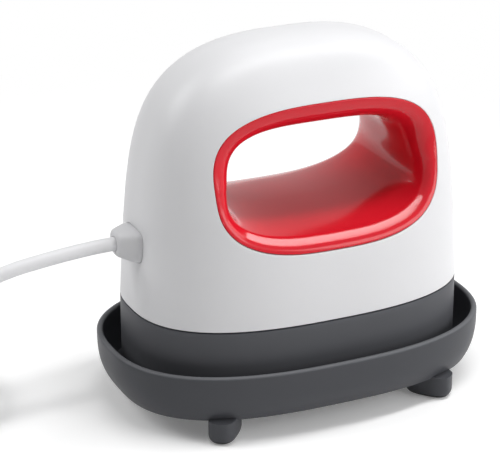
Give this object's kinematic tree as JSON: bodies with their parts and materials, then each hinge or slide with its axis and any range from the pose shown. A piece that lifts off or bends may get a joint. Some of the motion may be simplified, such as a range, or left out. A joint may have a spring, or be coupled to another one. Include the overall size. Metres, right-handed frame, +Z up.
{
  "type": "mini handheld heat press",
  "caption": "Handheld heat press with a through-grip, standing in its footed safety tray, with its mains lead wound beside it.",
  "frame": {"origin": "middle of the tray's footprint, on the table under its feet", "axes": "+X along the press from the lead's end to the control end, -Y out of the bare front face, +Z up"},
  "size_m": [0.3905, 0.2177, 0.2048],
  "materials": {
    "shell_white": "satin white moulded plastic",
    "liner_red": "glossy red moulded plastic",
    "skirt_grey": "dark grey heat-resistant plastic",
    "tray_grey": "matt dark grey moulded plastic",
    "foot_rubber": "matt black rubber",
    "mat_felt": "black heat-resistant felt",
    "plate_aluminium": "cast aluminium with a coated face",
    "element_steel": "dull steel sheath",
    "insulation_felt": "off-white mineral fibre",
    "shield_steel": "bright pressed steel",
    "screw_steel": "zinc-plated steel",
    "switch_black": "black plastic",
    "fuse_ceramic": "sleeved ceramic body",
    "board_green": "green solder mask",
    "light_guide": "milky light guide",
    "button_white": "satin white",
    "terminal_plastic": "natural nylon",
    "lead_white": "white soft sheath",
    "wire_glass_sleeve": "woven heat-proof sleeve",
    "relief_white": "white soft moulding",
    "tie_black": "black hook-and-loop strap",
    "blade_brass": "plated brass"
  },
  "bodies": {
    "root": {"safety_tray": "tray_grey", "tray_foot_1": "foot_rubber", "tray_foot_2": "foot_rubber", "tray_foot_3": "foot_rubber", "tray_foot_4": "foot_rubber", "tray_mat": "mat_felt", "cord_coil": "lead_white", "cord_tie": "tie_black", "plug_body": "relief_white", "plug_blade_1": "blade_brass", "plug_blade_2": "blade_brass"},
    "press": {"outer_shell": "shell_white", "grip_liner_front": "liner_red", "grip_liner_rear": "liner_red", "lower_housing": "skirt_grey", "heating_plate": "plate_aluminium", "heating_element": "element_steel", "insulation_felt": "insulation_felt", "heat_shield": "shield_steel", "plate_screw_1": "screw_steel", "plate_screw_2": "screw_steel", "plate_screw_3": "screw_steel", "plate_screw_4": "screw_steel", "plate_spacer_1": "screw_steel", "plate_spacer_2": "screw_steel", "plate_spacer_3": "screw_steel", "plate_spacer_4": "screw_steel", "housing_screw_1": "screw_steel", "housing_screw_2": "screw_steel", "housing_screw_3": "screw_steel", "housing_screw_4": "screw_steel", "liner_screw_1": "screw_steel", "liner_screw_2": "screw_steel", "liner_screw_3": "screw_steel", "liner_screw_4": "screw_steel", "thermistor": "switch_black", "thermal_fuse": "fuse_ceramic", "circuit_board": "board_green", "power_switch": "switch_black", "level_light_1": "light_guide", "level_light_2": "light_guide", "level_light_3": "light_guide", "control_panel": "skirt_grey", "terminal_block": "terminal_plastic", "cord_clamp": "switch_black", "clamp_screw_1": "screw_steel", "clamp_screw_2": "screw_steel", "inner_lead": "lead_white", "heater_wire_1": "wire_glass_sleeve", "heater_wire_2": "wire_glass_sleeve", "board_cable": "switch_black", "strain_relief": "relief_white", "mains_cord": "lead_white"},
    "button": {"power_button": "button_white"}
  },
  "joints": [
    {"name": "press_lift", "type": "slide", "parent": "root", "child": "press", "axis": [0, 0, 1], "range_m": [0, 0.045]},
    {"name": "button_push", "type": "slide", "parent": "press", "child": "button", "axis": [-1, 0, 0], "range_m": [0, 0.0008], "stiffness_N_per_m": 1500}
  ]
}
